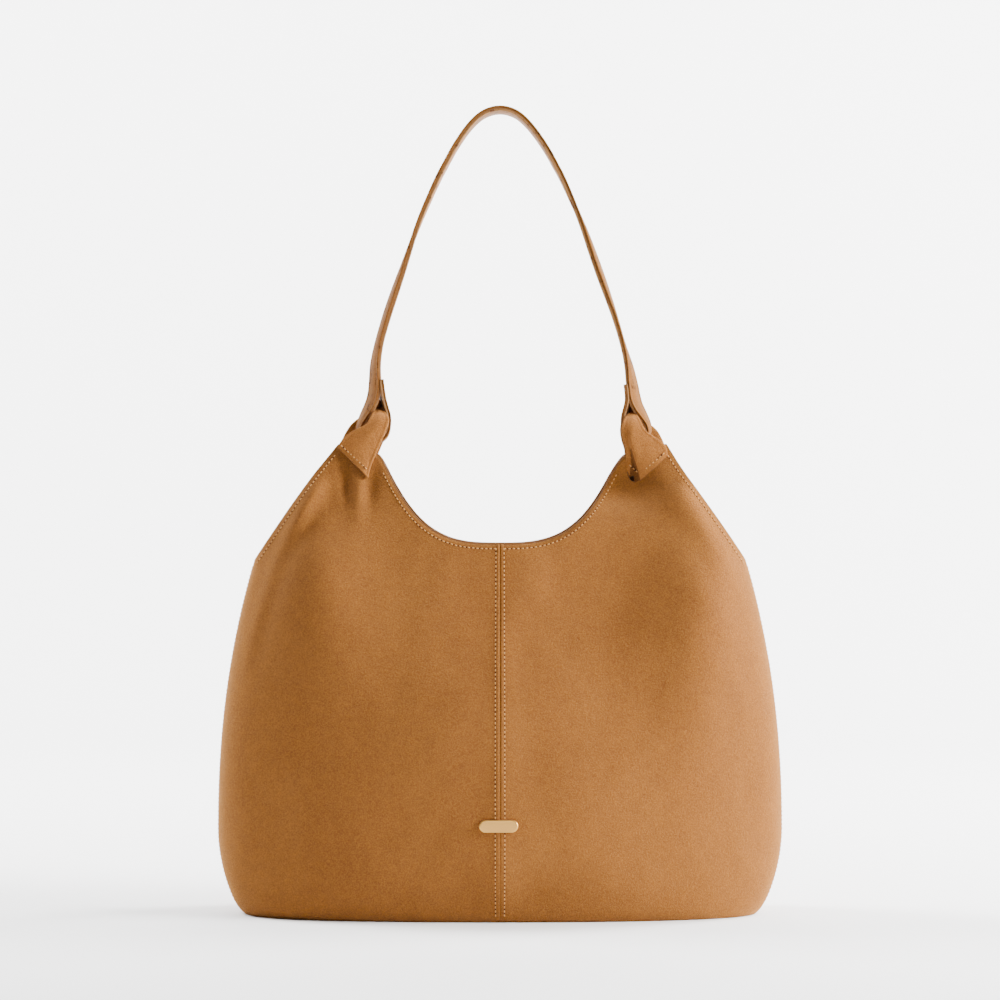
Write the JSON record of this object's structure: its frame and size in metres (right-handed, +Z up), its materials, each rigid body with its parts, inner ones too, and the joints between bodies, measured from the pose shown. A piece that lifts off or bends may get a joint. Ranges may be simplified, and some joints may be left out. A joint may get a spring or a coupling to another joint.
{
  "type": "hobo bag",
  "caption": "Slouchy suede hobo bag with a scooped neckline, pointed wings whose tongues arch over the end loops of a swinging shoulder strap, a zip pocket and a slip pocket inside.",
  "frame": {"origin": "middle of the underside of the flat base, on the surface the bag stands on", "axes": "+Z up through the strap, the front of the bag faces -Y, the width of the bag runs along X"},
  "size_m": [0.414, 0.1321, 0.592],
  "materials": {
    "suede": "napped suede, matt",
    "cream_leather": "smooth, matt",
    "lining_cloth": "plain cotton twill",
    "zip_tape": "woven tape",
    "fibre_board": "bonded fibre",
    "gold_metal": "polished light gold"
  },
  "bodies": {
    "bag": {"front_panel_left": "suede", "front_panel_right": "suede", "back_panel_left": "suede", "back_panel_right": "suede", "base_panel": "suede", "base_board": "fibre_board", "lining_floor": "lining_cloth", "lining_front": "lining_cloth", "lining_back": "lining_cloth", "facing_front": "suede", "facing_back": "suede", "tongue_left": "suede", "tongue_right": "suede", "ornament_bar": "gold_metal", "snap_patch_front": "suede", "snap_socket": "gold_metal", "snap_patch_back": "suede", "snap_stud": "gold_metal", "slip_pocket": "lining_cloth", "slip_pocket_hem": "suede", "zip_pocket": "lining_cloth", "zip_welt": "suede", "zip_tape_upper": "zip_tape", "zip_tape_lower": "zip_tape", "zip_teeth_upper": "gold_metal", "zip_teeth_lower": "gold_metal", "zip_stops": "gold_metal"},
    "strap": {"strap_outer": "suede", "strap_core": "fibre_board", "strap_lining": "cream_leather"},
    "zip_slide": {"zip_slider": "gold_metal"},
    "zip_pull": {"zip_puller": "gold_metal"}
  },
  "joints": [
    {"name": "strap_swing", "type": "hinge", "parent": "bag", "child": "strap", "pos_m": [0, 0, 0.353], "axis": [1, 0, 0], "range_deg": [-90, 90]},
    {"name": "zip_travel", "type": "slide", "parent": "bag", "child": "zip_slide", "axis": [1, 0, 0], "range_m": [0, 0.146]},
    {"name": "puller_flip", "type": "hinge", "parent": "zip_slide", "child": "zip_pull", "pos_m": [-0.074, 0.03921, 0.19757], "axis": [0, 0.1169, -0.9931], "range_deg": [0, 170]}
  ]
}
